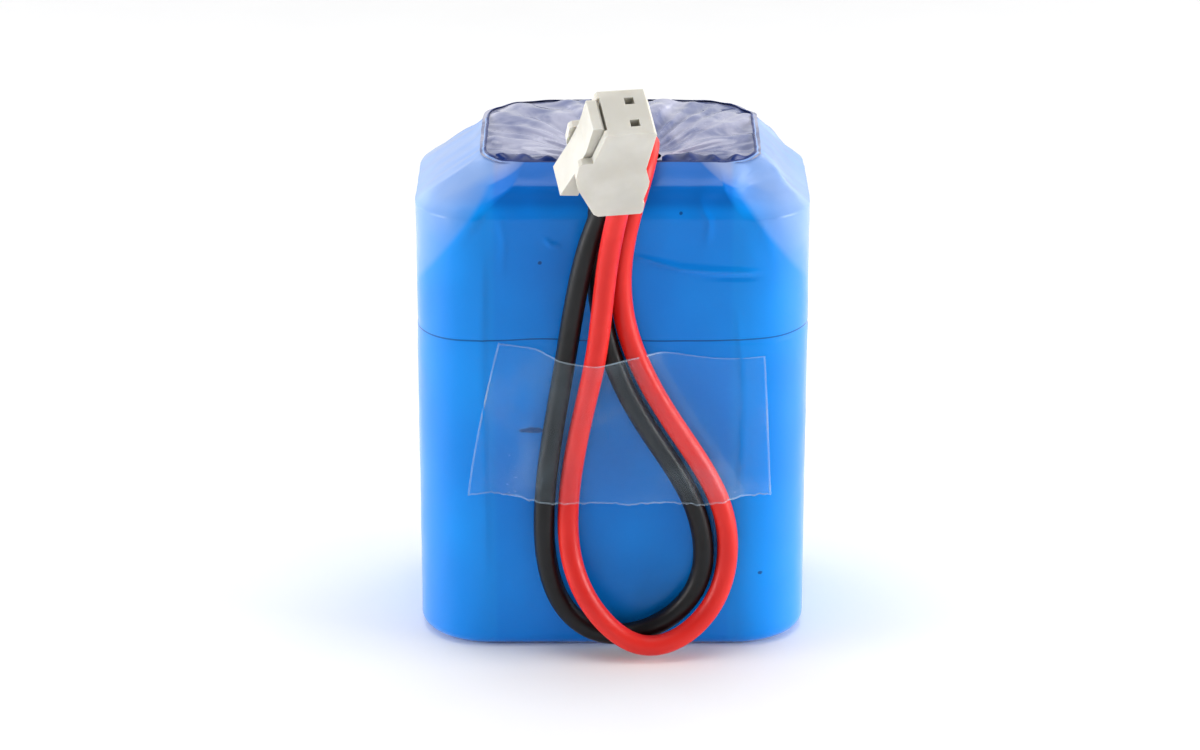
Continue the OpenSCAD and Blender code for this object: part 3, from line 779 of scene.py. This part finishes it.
def make_tape():
    tube = [spline_points(RED_ROUTE), spline_points(BLACK_ROUTE)]
    nx, nz = 150, 90
    us = np.linspace(0, 1, nx)
    zs = np.linspace(TAPE_LOW[2] + 0.3, TAPE_HIGH[2] - 0.3, nz)
    front = [[p for p in t if p[1] < -HALF_D] for t in tube]
    rows = []
    for k, z in enumerate(zs):
        t = k / (nz - 1)
        # the piece was torn off askew: its left end leans
        left = TAPE_LOW[0] + 0.2 + 4.6 * t ** 1.3
        right = TAPE_HIGH[0] - 0.2 - 1.2 * t
        xs = left + (right - left) * us
        crossings = [c for pts in front for c in wire_tops(z, np.array(pts)) if -20 < c[0] < 20]
        rows.append((xs, tape_rise(xs, crossings)))
    x = np.array([r[0] for r in rows])
    rise = np.array([r[1] for r in rows])
    for _ in range(6):
        rise[1:-1] = (rise[:-2] + 2 * rise[1:-1] + rise[2:]) / 4
        rise[:, 1:-1] = np.maximum(rise[:, 1:-1], (rise[:, :-2] + rise[:, 2:]) / 2)
    # top and bottom edges are not straight
    z = np.repeat(zs[:, None], nx, axis=1)
    span = (z - zs[0]) / (zs[-1] - zs[0])
    z = z - span ** 4 * (1.9 * smooth(us, 0.05, 0.45) + 0.7 * np.sin(us * 9))[None, :] * 0.9
    teeth = np.array([0.35 * fuzz((a, 0, 0), 0.9, 11) + 0.5 * fuzz((a, 0, 0), 5, 2) for a in x[0]])
    z = z + (1 - span) ** 5 * (0.6 + teeth)[None, :]
    lift = np.array([[max(0, fuzz((a, 0, b), 3.0, 4)) * 0.12 for a, b in zip(ra, rb)]
                     for ra, rb in zip(x, z)])
    y = -HALF_D - 0.06 - rise - lift
    outer = np.dstack([x, y, z]).reshape(-1, 3)
    inner = outer + np.array([0, 0.05, 0])
    total = nx * nz
    faces = []
    for k in range(nz - 1):
        for j in range(nx - 1):
            a, b = k * nx + j, (k + 1) * nx + j
            faces.append((a, a + 1, b + 1, b))
            faces.append((a + total, b + total, b + 1 + total, a + 1 + total))
    border = ([(0, j) for j in range(nx - 1)] + [(k, nx - 1) for k in range(nz - 1)]
              + [(nz - 1, j) for j in range(nx - 1, 0, -1)]
              + [(k, 0) for k in range(nz - 1, 0, -1)])
    ids = [k * nx + j for k, j in border]
    for a, b in zip(ids, ids[1:] + ids[:1]):
        faces.append((b, a, a + total, b + total))
    tape = link_mesh("tape_piece", np.vstack([outer, inner]), faces, [TAPE, TAPE_EDGE])
    cells = (nz - 1) * (nx - 1)
    ends = {(k, j) for k in range(nz - 1) for j in (0, nx - 2)} | {
        (k, j) for k in (0, nz - 2) for j in range(nx - 1)}
    looks = [0] * len(tape.data.polygons)
    for k, j in ends:
        looks[2 * (k * (nx - 1) + j)] = 1
    looks[2 * cells:] = [1] * (len(looks) - 2 * cells)
    tape.data.polygons.foreach_set("material_index", looks)
    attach(tape, "pack")
    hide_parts("clear_tape")
    return tape


# ---------------------------------------------------------------- plug


def soften(name, width):
    """Rounds a moulded CAD node's edges for show."""
    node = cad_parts[name]
    bevel = node.modifiers.new("edges", "BEVEL")
    bevel.width = width * MM
    bevel.segments = 3
    bevel.limit_method = "ANGLE"
    bevel.angle_limit = math.radians(25)
    bevel.use_clamp_overlap = True
    bevel.harden_normals = True
    node.data.shade_smooth()


soften("connector_housing", 0.18)
soften("connector_latch", 0.16)

tape = make_tape()
make_wire("lead_red_wire", RED_ROUTE, RED_COVER)
make_wire("lead_black_wire", BLACK_ROUTE, BLACK_COVER)
RIM = make_sleeve()
make_top_film(RIM)
make_rim_shadow_sheets(RIM)

# ---------------------------------------------------------------- stage and light


def make_floor():
    data = bpy.data.meshes.new("floor")
    size = 3
    data.from_pydata([(-size, -size, 0), (size, -size, 0), (size, size, 0), (-size, size, 0)],
                     [], [(0, 1, 2, 3)])
    look = Look("floor", Specular_IOR_Level=0.1)
    look.colour(look.mix(look.noise(30), (0.90, 0.90, 0.905), (0.93, 0.93, 0.93)))
    look.rough(look.ramp(look.noise(60), 0.3, 0.7, 0.6, 0.8))
    data.materials.append(look.material)
    floor = bpy.data.objects.new("floor", data)
    bpy.context.collection.objects.link(floor)


def add_light(name, place, aim, size, power):
    data = bpy.data.lights.new(name, "AREA")
    data.shape = "RECTANGLE"
    data.size, data.size_y = size
    data.energy = power
    light = bpy.data.objects.new(name, data)
    light.location = place
    light.rotation_mode = "QUATERNION"
    light.rotation_quaternion = (Vector(aim) - Vector(place)).to_track_quat("-Z", "Y")
    bpy.context.collection.objects.link(light)


def make_light():
    """White all round to the eye; a room with a bright far side to the rest; soft boxes."""
    world = bpy.data.worlds.new("world")
    bpy.context.scene.world = world
    world.use_nodes = True
    tree = world.node_tree
    room = tree.nodes["Background"]
    room.inputs["Color"].default_value = (1, 1, 1, 1)
    ways = tree.nodes.new("ShaderNodeTexCoord")
    parts = tree.nodes.new("ShaderNodeSeparateXYZ")
    tree.links.new(ways.outputs["Generated"], parts.inputs[0])
    rise = tree.nodes.new("ShaderNodeMapRange")
    rise.interpolation_type = "SMOOTHSTEP"
    for name, value in (("From Min", -0.1), ("From Max", 0.55), ("To Min", 0.2), ("To Max", 0.95)):
        rise.inputs[name].default_value = value
    tree.links.new(parts.outputs["Y"], rise.inputs["Value"])
    tree.links.new(rise.outputs["Result"], room.inputs["Strength"])
    backdrop = tree.nodes.new("ShaderNodeBackground")
    backdrop.inputs["Color"].default_value = (1, 1, 1, 1)
    seen = tree.nodes.new("ShaderNodeLightPath").outputs["Is Camera Ray"]
    mix = tree.nodes.new("ShaderNodeMixShader")
    tree.links.new(seen, mix.inputs[0])
    tree.links.new(room.outputs[0], mix.inputs[1])
    tree.links.new(backdrop.outputs[0], mix.inputs[2])
    tree.links.new(mix.outputs[0], tree.nodes["World Output"].inputs["Surface"])
    middle = (0, 0, 0.035)
    add_light("top", (0, 0, 0.75), middle, (0.5, 0.4), 2.2)
    add_light("left_front", (-0.62, -0.14, 0.17), middle, (0.3, 0.34), 3.0)
    add_light("right_front", (0.62, -0.14, 0.17), middle, (0.3, 0.34), 3.7)
    add_light("left_back", (-0.62, 0.38, 0.21), middle, (0.9, 0.4), 1.4)
    add_light("right_back", (0.62, 0.38, 0.21), middle, (0.9, 0.4), 1.4)


make_floor()
make_light()
bpy.context.scene.view_settings.view_transform = "Standard"
